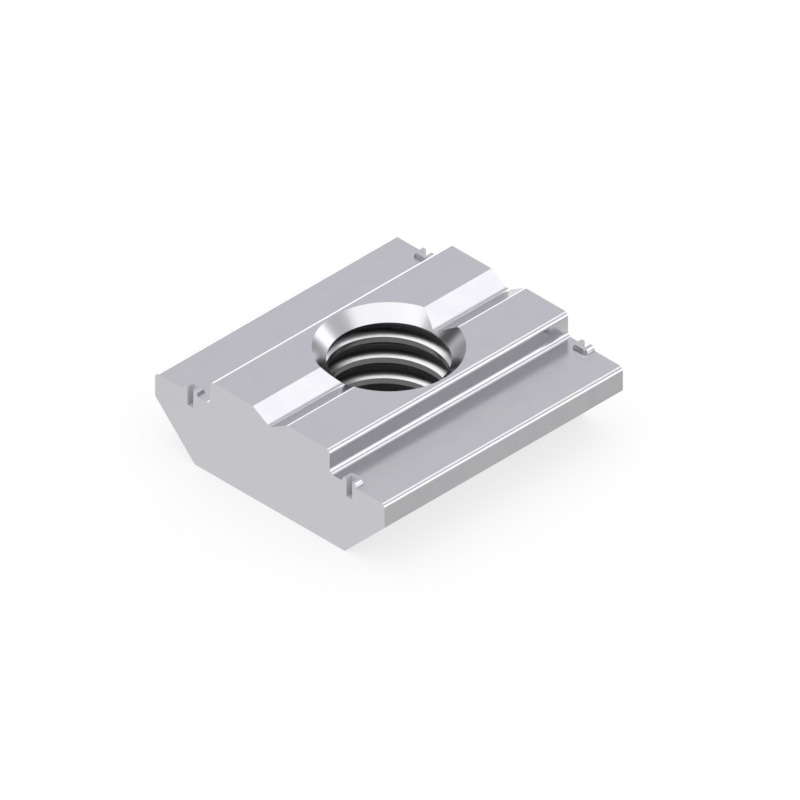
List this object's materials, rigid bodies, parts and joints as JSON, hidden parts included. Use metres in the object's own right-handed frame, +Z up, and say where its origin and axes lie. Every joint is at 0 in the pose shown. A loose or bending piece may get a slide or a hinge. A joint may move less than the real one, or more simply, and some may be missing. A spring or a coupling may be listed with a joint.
{
  "type": "t slot nut",
  "caption": "Flanged slot nut of drawn steel with a raised block, bevelled underside, countersunk tapped hole and staked claws.",
  "frame": {"origin": "middle of the flat bottom, on the axis of the tapped hole", "axes": "+X across the two flanges, +Y along the drawn bar and the slot, +Z up out of the slot along the hole's axis"},
  "size_m": [0.0128, 0.0132, 0.0044],
  "materials": {
    "zinc_steel": "bright zinc plate on drawn steel, faintly brushed"
  },
  "bodies": {
    "root": {"slot_nut": "zinc_steel"}
  },
  "joints": []
}
